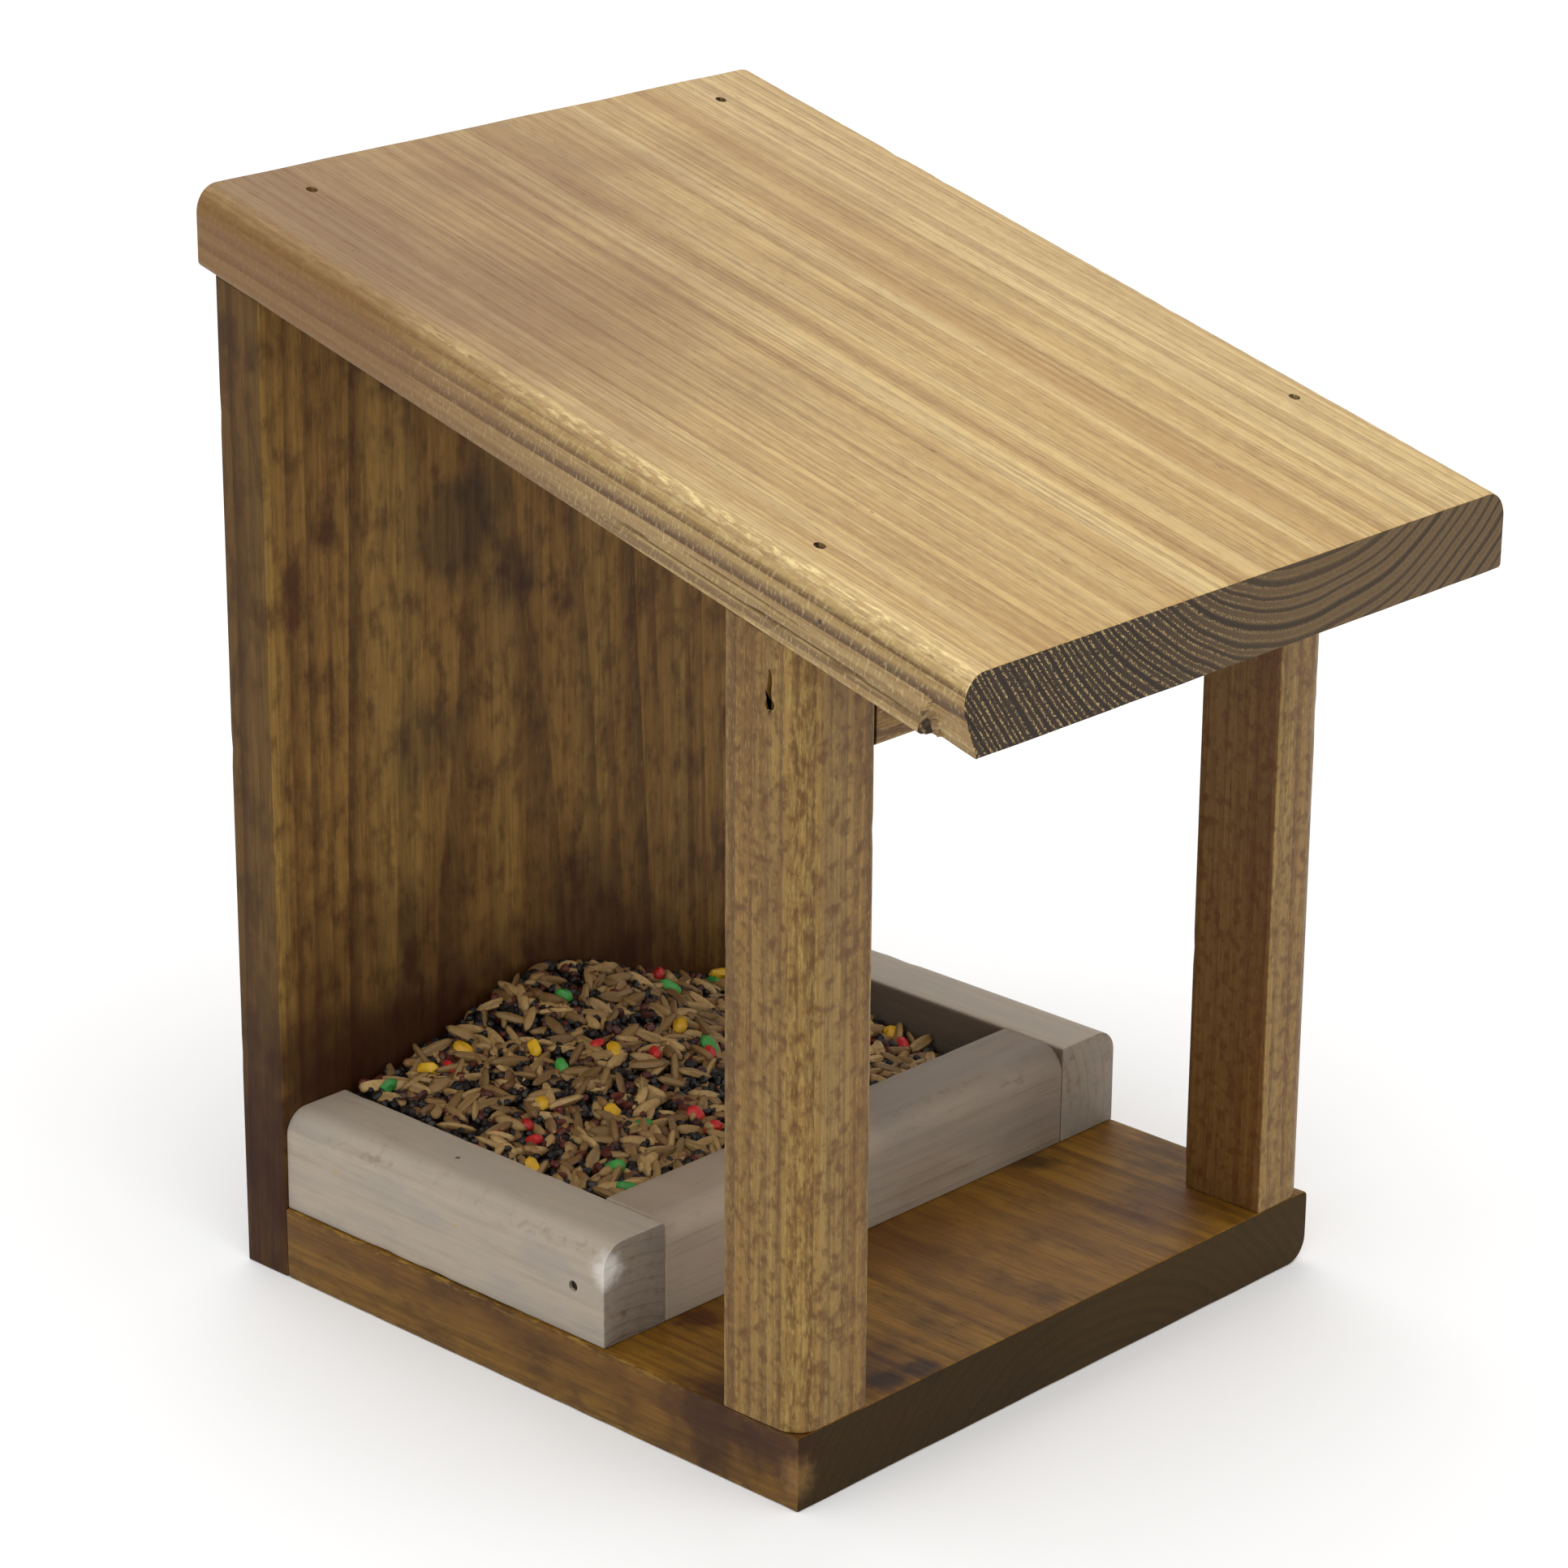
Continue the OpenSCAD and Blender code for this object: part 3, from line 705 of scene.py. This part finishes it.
floorLook = {
    "radii": (sawnR, roundR, easedR, sawnR), "seed": 11.3,
    "pith": (10 * mm, 0.0, -60 * mm),
    "ringGap": 4.0 * mm, "drift": 6 * mm, "lean": (0.01, 0.02), "draw": 2.2,
    "curlShow": 0.4, "curlScale": 200, "curlDraw": 0.3,
    "shade": (0.85, 0.81, 0.23), "endShow": 0.25, "dashShow": 0.1,
    "tones": {
        "early": (146, 104, 62), "late": (86, 56, 32), "band": (108, 70, 40), "fibre": (96, 64, 38),
        "hair": (168, 130, 86), "tick": (54, 34, 22), "blotch": (76, 50, 28), "wearAndSheen": (176, 142, 98),
        "endDark": (54, 38, 27), "endLight": (66, 48, 34), "endGrit": (56, 41, 30), "endLine": (34, 27, 22),
        "endDash": (104, 86, 66),
    },
    "gloss": 0.22, "blotchShow": 0.75, "blotchScale": 60, "blotchDraw": 0.6, "wearAndSheenShow": 0.6,
    "flanks": [flank(toLeft, 0.3, (56, 30, 12))],
    "stainsAndPaintedLight": [
        spot((leftHigh.x + 12 * mm, leftLow.y + 16 * mm, floorHigh.z), 20 * mm, 0.6, (66, 34, 20)),
        spot((leftHigh.x + 14 * mm, leftLow.y + 6 * mm, floorHigh.z), 8 * mm, 0.8, (34, 20, 14)),
        spot((leftHigh.x + 24 * mm, leftLow.y + 5 * mm, floorHigh.z), 7 * mm, 0.8, (34, 20, 14)),
        spot((rightLow.x - 14 * mm, rightLow.y + 22 * mm, floorHigh.z), 20 * mm, 0.5, (74, 38, 22)),
        spot((leftLow.x, leftLow.y + 30 * mm, floorHigh.z - 4 * mm), 22 * mm, 0.8, (46, 18, 8), 0.2, 120),
        spot((leftLow.x, leftLow.y + 7 * mm, floorHigh.z - 3 * mm), 14 * mm, 0.7, (50, 22, 12), 0.2, 120),
        spot((-70 * mm, -31 * mm, floorHigh.z), 9 * mm, 0.75, (56, 16, 8), 0.3, 200),
        spot((62 * mm, -28 * mm, floorHigh.z), 9 * mm, 0.6, (30, 18, 12), 0.3, 200),
        spot((floorLow.x, floorLow.y, floorLow.z + 9 * mm), 8 * mm, 0.45, (150, 112, 64), 0.1, 500),
        spot((0.0, -36 * mm, floorHigh.z), 30 * mm, 0.45, (70, 38, 24)),
    ],
}
makeTimber("floorBoard", "floor_board", floorLook,
           ["back_screws", "post_screws", "tray_screws"], alongY, (gap, 0.0))
print("back and floor made")

postTones = {
    "ringGap": 3.6 * mm, "drift": 5 * mm, "draw": 1.2, "curlShow": 0.85, "curlScale": 330, "curlDraw": 0.9,
    "shade": (0.52, 0.5, 0.29),
    "tones": {
        "early": (190, 148, 94), "late": (108, 66, 28), "curl": (124, 82, 32), "band": (134, 88, 42),
        "fibre": (98, 64, 32), "hair": (232, 204, 150), "tick": (70, 42, 22), "blotch": (116, 72, 38),
        "wearAndSheen": (232, 204, 150), "endDark": (80, 62, 46), "endLight": (100, 80, 58),
        "endGrit": (84, 66, 50), "endLine": (52, 40, 32), "endDash": (140, 118, 88),
    },
    "hairShow": 0.75, "hairDraw": 0.13, "bandShow": 0.55, "blotchScale": 70, "blotchShow": 0.35,
    "rough": 0.45, "gloss": 0.3, "gap": 3 * mm, "stationGap": 4.5 * mm,
}
leftLook = dict(postTones, radii=(roundR, easedR, easedR, easedR), seed=17.9,
                pith=(leftLow.x - 30 * mm, leftLow.y + 44 * mm, 0.0))
rightLook = dict(postTones, radii=(sawnR, roundR, easedR, easedR), seed=23.3,
                 pith=(rightLow.x + 36 * mm, rightLow.y + 40 * mm, 0.0),
                 # the inner, left face is darkened by the way it faces: a darker stain and painted shade
                 # under the roof
                 flanks=[flank(toLeft, 0.6, (84, 46, 22))])


def slitMesh(middle, tall, wide, deep):
    # a lens-shaped cutter for the slit that a brad opened along the grain
    shape = bmesh.new()
    rim = [(0.5 * wide * sin(a) * (1 + 0.3 * sin(5 * a)), 0.5 * tall * cos(a))
           for a in np.linspace(0, 2 * pi, 17)[:-1]]
    near = [shape.verts.new((middle[0] - 2 * mm, middle[1] + y, middle[2] + z)) for y, z in rim]
    far = [shape.verts.new((middle[0] + deep, middle[1] + y * 0.3, middle[2] + z * 0.8)) for y, z in rim]
    for k in range(len(rim)):
        n = (k + 1) % len(rim)
        shape.faces.new((near[k], near[n], far[n], far[k]))
    shape.faces.new(near[::-1])
    shape.faces.new(far)
    return meshFrom(shape, "slit")


leftBrad = min((f["head"] for f in fixingsOf("rail_brads")), key=lambda head: head.x)
slit = slitMesh((leftLow.x, leftBrad.y, leftBrad.z + 3 * mm), 13 * mm, 2.1 * mm, 2.6 * mm)
postFixings = ["roof_brads", "rail_brads", "post_screws"]
makeTimber("leftPost", "left_post", leftLook, postFixings, upright, cuts=[slit])
makeTimber("rightPost", "right_post", rightLook, postFixings, upright)

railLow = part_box("front_rail")[0]
railLook = dict(postTones, radii=(easedR, sawnR, sawnR, sawnR), seed=29.1, endRound=0.1 * mm,
                pith=(0.0, railLow.y + 40 * mm, railLow.z - 22 * mm))
makeTimber("frontRail", "front_rail", railLook, ["rail_brads"], alongX)
print("posts and front rail made")

trayTones = {
    "radii": (sawnR, sawnR, easedR, roundR), "gap": 3 * mm, "stationGap": 4 * mm,
    "ringGap": 3.6 * mm, "drift": 4 * mm, "shade": (0.7, 0.66, 0.6), "endRound": 0.35 * mm,
    # painted shade on the front faces and painted light on the tops
    "flanks": [flank(toFront, 0.3, (84, 62, 44)), flank(toTop, 0.3, (184, 172, 156))],
    "tones": {
        "early": (150, 128, 104), "late": (98, 78, 60), "band": (122, 100, 80), "fibre": (104, 86, 68),
        "hair": (176, 158, 136), "tick": (70, 54, 42), "blotch": (110, 88, 70), "wearAndSheen": (120, 100, 80),
        "endDark": (110, 94, 78), "endLight": (140, 124, 106), "endGrit": (120, 104, 88),
        "endLine": (76, 62, 50), "endDash": (190, 178, 160),
    },
    "rough": 0.62, "gloss": 0.35, "relief": 0.2,
    "wash": {"cover": 0.95, "topBare": 0.08, "cool": tint(156, 147, 134), "warm": tint(170, 156, 138),
             "grey": tint(138, 126, 112), "speck": tint(178, 146, 78)},
}
trayLeftLow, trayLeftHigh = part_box("tray_left_rail")
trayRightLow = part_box("tray_right_rail")[0]
trayFrontLow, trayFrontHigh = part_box("tray_front_rail")
trayLeft = dict(trayTones, seed=31.7, pith=(trayLeftLow.x + 8 * mm, 0.0, trayLeftLow.z - 26 * mm),
                # painted shade on the front face and painted light on the top
                flanks=[flank(toFront, 0.48, (78, 58, 42)), flank(toTop, 0.32, (190, 178, 162))],
                # a painted highlight on the rounded front-left corner
                stainsAndPaintedLight=[spot((trayLeftLow.x + 1.5 * mm, trayLeftLow.y, trayLeftHigh.z - 6.5 * mm), 6.5 * mm,
                             0.75, (216, 211, 203), 0.2, 240),
                        spot((trayLeftLow.x + 12 * mm, trayLeftLow.y + 66 * mm, trayLeftHigh.z), 0.9 * mm,
                             0.8, (54, 44, 36), 0.5, 700)])
trayRight = dict(trayTones, seed=37.1, pith=(trayRightLow.x - 30 * mm, 0.0, trayRightLow.z + 8 * mm),
                 # its inner, left face is darker as bare wood and as painted shade inside the tray
                 flanks=trayTones["flanks"] + [flank(toLeft, 0.75, (60, 44, 30))])
trayFront = dict(trayTones, seed=41.9, pith=(0.0, trayFrontLow.y + 12 * mm, trayFrontLow.z - 30 * mm),
                 # painted shade on the front face, as on the other rails, and a darker top
                 flanks=[trayTones["flanks"][0], flank(toTop, 0.42, (78, 60, 46))],
                 # painted light on the left part of the front face and painted shade on its right part
                 stainsAndPaintedLight=[spot((trayFrontLow.x + 28 * mm, trayFrontLow.y, trayFrontLow.z + 14 * mm), 62 * mm,
                              0.5, (186, 166, 144), 0.1, 30),
                         spot((trayFrontHigh.x, trayFrontLow.y, trayFrontLow.z + 8 * mm), 40 * mm,
                              0.4, (92, 70, 50), 0.1, 30)])
sideFixings = ["tray_brads", "tray_screws"]
makeTimber("trayLeftRail", "tray_left_rail", trayLeft, sideFixings, alongY)
makeTimber("trayRightRail", "tray_right_rail", trayRight, sideFixings, alongY,
           mirrored=True)
makeTimber("trayFrontRail", "tray_front_rail", trayFront, ["tray_brads"], alongX)
print("tray made")

heapLow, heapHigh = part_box("seed_heap")
seedBed = {"sink": 2.4 * mm, "columns": 64, "rows": 44}


def heapTop():
    # the frame's own heap, as a height over its plan
    tree = bmesh.new()
    tree.from_mesh(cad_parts["seed_heap"].data)
    lookup = BVHTree.FromBMesh(tree)

    def height(x, y):
        hit = lookup.ray_cast(Vector((x, y, heapHigh.z + 0.05)), Vector((0, 0, -1)))
        return hit[0].z if hit[0] else heapLow.z + 10 * mm

    return height


heapHeight = heapTop()


def bedMesh(name, sink, border, closed):
    columns, rows = seedBed["columns"], seedBed["rows"]
    xs = np.linspace(heapLow.x + border, heapHigh.x - border, columns + 1)
    ys = np.linspace(heapLow.y + border, heapHigh.y - border, rows + 1)
    verts, faces = [], []
    for y in ys:
        for x in xs:
            bump = 0.5 * mm * noise.noise(Vector((x * 160, y * 160, 4.0)))
            verts.append((x, y, heapHeight(x, y) - sink + bump))
    wide = columns + 1
    for j in range(rows):
        for i in range(columns):
            faces.append((j * wide + i, j * wide + i + 1, (j + 1) * wide + i + 1, (j + 1) * wide + i))
    if closed:
        rim = (list(range(wide)) + [j * wide + columns for j in range(1, rows + 1)]
               + [rows * wide + i for i in range(columns - 1, -1, -1)]
               + [j * wide for j in range(rows - 1, 0, -1)])
        base = len(verts)
        verts += [(verts[i][0], verts[i][1], heapLow.z + gap) for i in rim]
        for k in range(len(rim)):
            n = (k + 1) % len(rim)
            faces.append((rim[k], base + k, base + n, rim[n]))
        faces.append(tuple(range(base + len(rim) - 1, base - 1, -1)))
    mesh = bpy.data.meshes.new(name)
    mesh.from_pydata(verts, [], faces)
    return mesh


def seedShape(name, rings, sides, blunt, crease, flat, lumps):
    # one grain along X, one unit long and one across, with a groove down one side
    verts, faces, along, groove = [(-0.5, 0, 0)], [], [-1], [0]
    for i in range(1, rings):
        x = -0.5 + i / rings
        r = 0.5 * max(1 - abs(2 * x) ** blunt, 0) ** 0.5
        for k in range(sides):
            a = 2 * pi * k / sides
            dip = crease * max(cos(a - pi / 2), 0) ** 8
            dip += lumps * (1 + noise.noise(Vector((x * 3 + rings, cos(a) * 1.6, sin(a) * 1.6))))
            verts.append((x, r * cos(a) * (1 - dip), r * sin(a) * (1 - dip) * flat))
            along.append(2 * x)
            groove.append(1.0 if crease and dip > 0.5 * crease else 0.0)
    verts.append((0.5, 0, 0))
    along.append(1)
    groove.append(0)
    for i in range(rings - 2):
        for k in range(sides):
            n = (k + 1) % sides
            a, b = 1 + i * sides, 1 + (i + 1) * sides
            faces.append((a + k, a + n, b + n, b + k))
    top = 1 + (rings - 2) * sides
    for k in range(sides):
        n = (k + 1) % sides
        faces.append((0, 1 + n, 1 + k))
        faces.append((len(verts) - 1, top + k, top + n))
    mesh = bpy.data.meshes.new(name)
    mesh.from_pydata(verts, [], faces)
    writeField(mesh, "along", along)
    writeField(mesh, "groove", groove)
    obj = finishMesh(name, mesh)
    obj.data.shade_smooth()
    return obj


def scatterTree():
    # grains strewn over a surface, each turned and tipped at random
    tree = bpy.data.node_groups.new("strewnGrains", "GeometryNodeTree")
    face = tree.interface
    inputs = {"Surface": "Geometry", "Grain": "Object", "Per Square Metre": "Float", "Length": "Float",
              "Width": "Float", "Spread": "Float", "Tip": "Float", "Lift": "Float", "Lay": "Float",
              "Seed": "Int", "Finish": "Material"}
    for name, kind in inputs.items():
        face.new_socket(name, in_out="INPUT", socket_type="NodeSocket" + kind)
    face.new_socket("Grains", in_out="OUTPUT", socket_type="NodeSocketGeometry")
    bench = Bench(tree)
    given = bench.add("NodeGroupInput")
    put = given.of

    def chance(low, high, shift):
        made = bench.add("FunctionNodeRandomValue", {"data_type": "FLOAT"},
                         {2: low, 3: high, "Seed": put("Seed") + shift})
        return Wire(bench, made.socket.node.outputs[1])

    points = bench.add("GeometryNodeDistributePointsOnFaces", {"distribute_method": "RANDOM"}, {
        "Mesh": put("Surface"), "Density": put("Per Square Metre"), "Seed": put("Seed")})
    lift = put("Lift") + chance(0.0 - put("Lay"), put("Lay"), 1)
    lifted = bench.add("GeometryNodeSetPosition", None, {
        "Geometry": points, "Offset": bench.join(0.0, 0.0, lift)})
    tip = put("Tip")
    turned = bench.add("FunctionNodeEulerToRotation", None, {
        0: bench.join(chance(-3.14, 3.14, 2), chance(0.0 - tip, tip, 3), chance(-3.14, 3.14, 4))})
    turn = bench.add("FunctionNodeRotateRotation", {"rotation_space": "LOCAL"}, {
        0: points.of("Rotation"), 1: turned})
    size = chance(1.0 - put("Spread"), 1.0 + put("Spread"), 5)
    plump = chance(0.82, 1.15, 6)
    scale = bench.join(put("Length") * size, put("Width") * plump, put("Width") * plump)
    shape = bench.add("GeometryNodeObjectInfo", None, {"Object": put("Grain")}).of("Geometry")
    laid = bench.add("GeometryNodeInstanceOnPoints", None, {
        "Points": lifted, "Instance": shape, "Rotation": turn, "Scale": scale})
    toned = bench.add("GeometryNodeStoreNamedAttribute", {"data_type": "FLOAT", "domain": "INSTANCE"}, {
        "Geometry": laid, "Name": "tone", "Value": chance(0.0, 1.0, 7)})
    real = bench.add("GeometryNodeRealizeInstances", None, {"Geometry": toned})
    done = bench.add("GeometryNodeSetMaterial", None, {"Geometry": real, "Material": put("Finish")})
    bench.add("NodeGroupOutput", None, {0: done})
    return tree


def seedFinish(name, look):
    material, bench = newFinish(name)
    here = bench.add("ShaderNodeTexCoord").of("Object")
    tone = bench.add("ShaderNodeAttribute", {"attribute_name": "tone"}).of("Fac")
    along = abs(bench.add("ShaderNodeAttribute", {"attribute_name": "along"}).of("Fac"))
    groove = bench.add("ShaderNodeAttribute", {"attribute_name": "groove"}).of("Fac")
    mottle = bench.cloud(here, 900, 3, 0.6)
    fine = bench.cloud(here, 3200, 2, 0.6)
    pale, deep, mottled, tip = (tint(*each) for each in look["tones"])
    colour = bench.mix(tone, pale, deep)
    colour = bench.mix(mottle.step(0.4, 0.7) * 0.5, colour, mottled)
    colour = bench.mix(along.step(0.62, 1.0) * look["tipShow"], colour, tip)
    colour = bench.mix(groove * look["grooveShow"], colour, tip)
    closeFinish(bench, {"Base Color": colour, "Roughness": look["rough"] + (mottle - 0.5) * 0.3,
                        "Specular IOR Level": 0.4}, fine * 0.5 + mottle, 0.12 * mm)
    return material


strewn = scatterTree()
# shape: a grain's rings, sides, bluntness, groove, flatness and lumps; tones: pale, deep, mottled and tip
brightSeed = {"width": 4.4 * mm, "spread": 0.2, "tilt": 0.6, "lift": 3.5 * mm, "lay": 0.7 * mm,
              "shape": (6, 7, 2.4, 0.0, 0.85, 0.16), "border": 4 * mm,
              "tipShow": 0.4, "grooveShow": 0.0, "rough": 0.4}
grains = {
    "oats": {"count": 680, "length": 11.0 * mm, "width": 3.3 * mm, "spread": 0.18, "tilt": 0.38,
             "lift": 2.5 * mm, "lay": 1.3 * mm, "seed": 4, "shape": (7, 7, 1.7, 0.3, 0.8, 0.0),
             "border": 3.4 * mm, "tipShow": 0.7, "grooveShow": 0.5, "rough": 0.55,
             "tones": ((184, 152, 98), (106, 78, 42), (136, 102, 56), (96, 70, 40))},
    "wheat": {"count": 220, "length": 6.2 * mm, "width": 3.0 * mm, "spread": 0.15, "tilt": 0.4,
              "lift": 2.2 * mm, "lay": 1.3 * mm, "seed": 9, "shape": (6, 7, 2.6, 0.3, 0.9, 0.0),
              "border": 2.6 * mm, "tipShow": 0.6, "grooveShow": 0.6, "rough": 0.5,
              "tones": ((144, 108, 62), (90, 60, 32), (110, 78, 42), (94, 64, 38))},
    "darkSeed": {"count": 2900, "length": 3.2 * mm, "width": 2.6 * mm, "spread": 0.3, "tilt": 0.6,
                 "lift": 1.9 * mm, "lay": 0.9 * mm, "seed": 14, "shape": (5, 6, 2.6, 0.0, 0.9, 0.1),
                 "border": 1.6 * mm, "tipShow": 0.4, "grooveShow": 0.0, "rough": 0.42,
                 "tones": ((34, 28, 26), (13, 11, 12), (22, 18, 18), (52, 42, 34))},
    "maroonSeed": {"count": 620, "length": 3.8 * mm, "width": 2.7 * mm, "spread": 0.25, "tilt": 0.5,
                   "lift": 2.1 * mm, "lay": 1.1 * mm, "seed": 19, "shape": (6, 6, 2.6, 0.0, 0.9, 0.08),
                   "border": 2.0 * mm, "tipShow": 0.5, "grooveShow": 0.0, "rough": 0.42,
                   "tones": ((96, 40, 26), (52, 22, 16), (70, 28, 20), (50, 24, 18))},
    "redSeed": {**brightSeed, "count": 14, "length": 6.2 * mm, "seed": 21,
                "tones": ((198, 40, 38), (168, 28, 30), (182, 50, 44), (140, 30, 28))},
    "yellowSeed": {**brightSeed, "count": 8, "length": 6.2 * mm, "width": 4.8 * mm, "seed": 24,
                   "shape": (6, 7, 2.8, 0.0, 0.85, 0.16),
                   "tones": ((222, 176, 34), (196, 148, 24), (208, 160, 40), (214, 184, 84))},
    "greenSeed": {**brightSeed, "count": 11, "length": 7.0 * mm, "seed": 33, "rough": 0.45,
                  "tones": ((72, 160, 70), (44, 126, 52), (60, 138, 62), (60, 110, 50))},
}


def strewGrains(name, look):
    area = (heapHigh.x - heapLow.x) * (heapHigh.y - heapLow.y)
    obj = newObject(name, bedMesh(name + "Bed", 0.0, look["border"], False))
    grain = seedShape(name + "Grain", *look["shape"])
    finish = seedFinish(name + "Finish", look)
    modifier = obj.modifiers.new("strew", "NODES")
    modifier.node_group = strewn
    given = {"Grain": grain, "Per Square Metre": look["count"] / area, "Length": look["length"],
             "Width": look["width"], "Spread": look["spread"], "Tip": look["tilt"], "Lay": look["lay"],
             "Lift": look["lift"] - seedBed["sink"], "Seed": look["seed"], "Finish": finish}
    for item in strewn.interface.items_tree:
        if item.in_out == "INPUT" and item.name in given:
            modifier[item.identifier] = given[item.name]
    applyModifiers(obj)
    bpy.data.objects.remove(grain)
    keepInTray(obj)
    obj.data.shade_smooth()
    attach(obj, "root")
    return obj


def keepInTray(obj):
    # grains that lean on a rail or on the back board stop at it
    co = np.array([v.co for v in obj.data.vertices])
    edge = 0.2 * mm
    co[:, 0] = np.clip(co[:, 0], heapLow.x + edge, heapHigh.x - edge)
    co[:, 1] = np.clip(co[:, 1], heapLow.y + edge, heapHigh.y - edge)
    obj.data.vertices.foreach_set("co", co.ravel())
    obj.data.update()


# a dark sheet under the grains: it stands for the lower seeds and is painted shade between the grains
deepSeedsAndShadeLook = {"tones": ((58, 42, 30), (28, 21, 18), (40, 30, 22), (40, 30, 22)),
           "tipShow": 0.0, "grooveShow": 0.0, "rough": 0.7}
deepSeedsAndShade = finishMesh("seedBed", bedMesh("seedBed", seedBed["sink"] + 0.8 * mm, 0.2 * mm, True))
writeField(deepSeedsAndShade.data, "tone", [0.5 + 0.5 * noise.noise(v.co * 300) for v in deepSeedsAndShade.data.vertices])
settle(deepSeedsAndShade, seedFinish("deepSeedsAndShadeFinish", deepSeedsAndShadeLook), "seed_heap")
total = 0
for kind, look in grains.items():
    made = strewGrains(kind, look)
    made.data.calc_loop_triangles()
    total += len(made.data.loop_triangles)
    print(kind, len(made.data.loop_triangles), "triangles")
print("seed made:", total, "triangles")


def metalFinish(name, look):
    material, bench = newFinish(name)
    here = bench.add("ShaderNodeTexCoord").of("Object")
    stain = bench.cloud(here, 700, 4, 0.6)
    fine = bench.cloud(here, 5200, 2, 0.6)
    colour = bench.mix(stain.step(0.42, 0.66), look["bright"], look["dull"])
    colour = bench.mix(fine.step(0.62, 0.74) * 0.6, colour, look["rust"])
    closeFinish(bench, {"Base Color": colour, "Metallic": 1.0 - stain.step(0.5, 0.7) * look["skin"],
                        "Roughness": look["rough"] + stain * 0.3}, fine + stain, 0.04 * mm)
    return material


bradMetal = metalFinish("bradSteel", {
    "bright": tint(74, 64, 54), "dull": tint(44, 36, 30), "rust": tint(66, 40, 26),
    "skin": 0.6, "rough": 0.4})
screwMetal = metalFinish("screwZinc", {
    "bright": tint(196, 188, 168), "dull": tint(150, 142, 120), "rust": tint(120, 104, 72),
    "skin": 0.25, "rough": 0.28})
for names, metal in ((("roof_brads", "rail_brads", "tray_brads"), bradMetal),
                     (("back_screws", "post_screws", "tray_screws"), screwMetal)):
    for name in names:
        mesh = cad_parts[name].data
        mesh.materials.clear()
        mesh.materials.append(metal)
print("fixings finished")

stage = {"size": 160.0, "shade": (0.985, 0.985, 0.985, 1.0), "skyStrength": 0.57}
ground = bpy.data.meshes.new("ground")
half = stage["size"] / 2
corners = [(-half, -half, 0), (half, -half, 0), (half, half, 0), (-half, half, 0)]
ground.from_pydata(corners, [], [(0, 1, 2, 3)])
groundObj = newObject("ground", ground)
groundObj.location.z = cadBounds[0][2] - 0.05 * mm
paper, bench = newFinish("paper")
closeFinish(bench, {"Base Color": stage["shade"], "Roughness": 0.9, "Specular IOR Level": 0.1})
ground.materials.append(paper)
groundObj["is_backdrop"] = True

world = bpy.data.worlds.new("studio")
bpy.context.scene.world = world
world.use_nodes = True
sky = world.node_tree.nodes["Background"].inputs
sky["Color"].default_value = (1.0, 1.0, 1.0, 1.0)
sky["Strength"].default_value = stage["skyStrength"]

lamps = {
    "skyLamp": {"from": (-0.35, -0.5, 1.0), "spread": 100, "strength": 1.85},
    "edgeLamp": {"from": (0.5, 0.8, 0.9), "spread": 50, "strength": 0.5},
}
for name, lamp in lamps.items():
    light = bpy.data.lights.new(name, "SUN")
    light.angle, light.energy = radians(lamp["spread"]), lamp["strength"]
    newObject(name, light).rotation_euler = Vector(lamp["from"]).to_track_quat("Z", "Y").to_euler()

view = {"azimuth": -46.6, "elevation": 20.25, "roll": 0.375, "distance": 1.2146,
        "target": (-0.058294, -0.048403, 0.166564), "lens": 114.47}
cameraData = bpy.data.cameras.new("camera")
cameraData.lens, cameraData.sensor_width = view["lens"], 36.0
cameraObj = newObject("camera", cameraData)
azimuth, elevation, roll = (radians(view[k]) for k in ("azimuth", "elevation", "roll"))
backward = Vector((sin(azimuth) * cos(elevation), -cos(azimuth) * cos(elevation), sin(elevation)))
rightward = Vector((cos(azimuth), sin(azimuth), 0))
upward = backward.cross(rightward)
rolledRight = rightward * cos(roll) + upward * sin(roll)
rolledUp = upward * cos(roll) - rightward * sin(roll)
turn = Matrix((rolledRight, rolledUp, backward)).transposed().to_4x4()
cameraObj.matrix_world = Matrix.Translation(Vector(view["target"]) + backward * view["distance"]) @ turn
bpy.context.scene.camera = cameraObj
bpy.context.scene.view_settings.view_transform = "Standard"
print("stage, light and camera set")

{"cad": plain(cadBounds), "visual": plain(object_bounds())}
